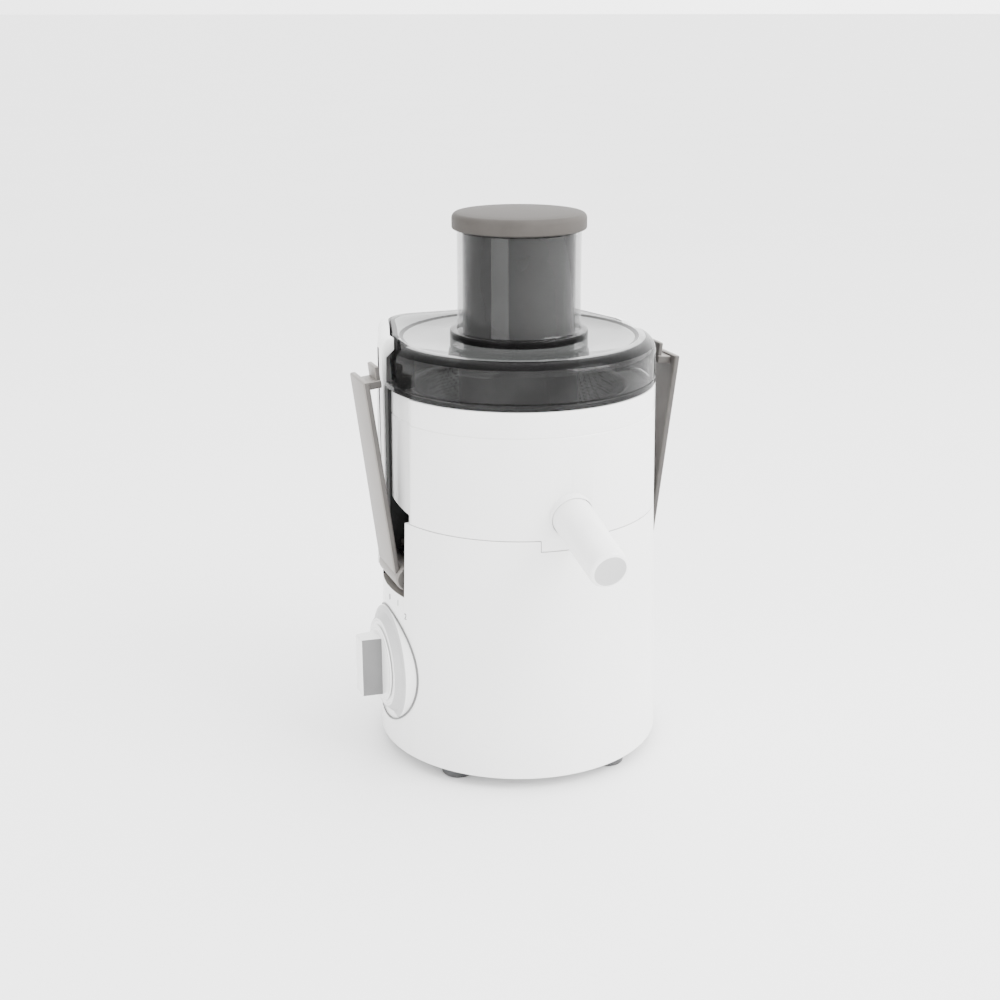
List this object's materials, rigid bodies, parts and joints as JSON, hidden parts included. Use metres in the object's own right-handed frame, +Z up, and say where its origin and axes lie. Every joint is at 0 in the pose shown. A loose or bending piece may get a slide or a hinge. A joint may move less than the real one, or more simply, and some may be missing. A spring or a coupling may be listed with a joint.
{
  "type": "centrifugal juicer",
  "caption": "Compact upright centrifugal juicer with a round tapered body, front spout, feed tube with pusher, rear pulp container, side latches and a side speed knob.",
  "frame": {"origin": "middle of the assembly's bounding box, on the surface that it stands on", "axes": "+Z up along the motor's axis, -Y towards the spout at the front, -X towards the speed knob"},
  "size_m": [0.193, 0.2164, 0.3096],
  "materials": {
    "white_plastic": "glossy moulded white plastic",
    "grey_plastic": "satin warm grey plastic",
    "latch_plastic": "satin light warm grey plastic",
    "smoky_plastic": "polished see-through smoky plastic",
    "rubber": "matt dark rubber",
    "steel": "brushed stainless steel",
    "core_iron": "laminated electrical steel",
    "copper": "enamelled copper winding",
    "black_plastic": "satin black plastic"
  },
  "bodies": {
    "base": {"base_housing": "white_plastic", "base_plate": "white_plastic", "foot_1": "rubber", "foot_2": "rubber", "foot_3": "rubber", "foot_4": "rubber", "base_screw_1": "steel", "base_screw_2": "steel", "base_screw_3": "steel", "base_screw_4": "steel", "cord_inlet_bush": "rubber", "motor_stator": "core_iron", "field_coil_left": "copper", "field_coil_right": "copper", "lower_bearing": "steel", "upper_bearing": "steel", "lower_bracket": "core_iron", "upper_bracket": "core_iron", "brush_holder_left": "black_plastic", "brush_holder_right": "black_plastic", "carbon_brush_left": "black_plastic", "carbon_brush_right": "black_plastic", "motor_mount_front": "rubber", "motor_mount_rear": "rubber", "dial_bezel": "white_plastic", "rotary_switch": "black_plastic", "interlock_switch": "black_plastic", "left_hinge_pin": "steel", "right_hinge_pin": "steel", "shaft_seal": "rubber"},
    "rotor": {"motor_shaft": "steel", "armature_core": "core_iron", "commutator": "copper", "cooling_fan": "black_plastic", "drive_coupling": "black_plastic"},
    "knob": {"speed_knob": "white_plastic", "knob_shaft": "black_plastic"},
    "plunger": {"interlock_plunger": "grey_plastic"},
    "left_latch": {"left_latch": "latch_plastic"},
    "right_latch": {"right_latch": "latch_plastic"},
    "bowl": {"juice_bowl": "white_plastic", "left_edge_seal": "rubber", "right_edge_seal": "rubber"},
    "spout": {"spout": "white_plastic"},
    "basket": {"filter_basket": "steel", "grater_disc": "steel", "basket_hub": "black_plastic"},
    "lid": {"lid": "smoky_plastic"},
    "pusher": {"pusher": "smoky_plastic", "pusher_cap": "grey_plastic"},
    "container": {"pulp_container": "white_plastic"}
  },
  "joints": [
    {"name": "drive_spin", "type": "hinge", "parent": "base", "child": "rotor", "pos_m": [0.00192, 0.02078, 0.1], "axis": [0, 0, 1], "continuous": true},
    {"name": "knob_turn", "type": "hinge", "parent": "base", "child": "knob", "pos_m": [0.00192, 0.02078, 0.0546], "axis": [-1, 0, 0], "range_deg": [0, 60]},
    {"name": "plunger_push", "type": "slide", "parent": "base", "child": "plunger", "axis": [1, 0, 0], "range_m": [0, 0.002]},
    {"name": "left_latch_turn", "type": "hinge", "parent": "base", "child": "left_latch", "pos_m": [-0.07068, 0.02078, 0.1105], "axis": [0, -1, 0], "range_deg": [-7, 30]},
    {"name": "right_latch_turn", "type": "hinge", "parent": "base", "child": "right_latch", "pos_m": [0.07452, 0.02078, 0.1105], "axis": [0, 1, 0], "range_deg": [-7, 30]},
    {"name": "bowl_lift", "type": "slide", "parent": "base", "child": "bowl", "axis": [0, 0, 1], "range_m": [0, 0.12]},
    {"name": "spout_turn", "type": "hinge", "parent": "bowl", "child": "spout", "pos_m": [0.00192, -0.05672, 0.158], "axis": [0, -0.9613, -0.2756], "range_deg": [0, 180]},
    {"name": "basket_spin", "type": "hinge", "parent": "bowl", "child": "basket", "pos_m": [0.00192, 0.02078, 0.164], "axis": [0, 0, 1], "continuous": true},
    {"name": "lid_lift", "type": "slide", "parent": "bowl", "child": "lid", "axis": [0, 0, 1], "range_m": [0, 0.08]},
    {"name": "pusher_lift", "type": "slide", "parent": "lid", "child": "pusher", "axis": [0, 0, 1], "range_m": [0, 0.13]},
    {"name": "container_slide", "type": "slide", "parent": "base", "child": "container", "axis": [0, 1, 0], "range_m": [0, 0.09]}
  ],
  "couplings": [
    {"joint": "basket_spin", "follows": "drive_spin", "ratio": 1}
  ]
}
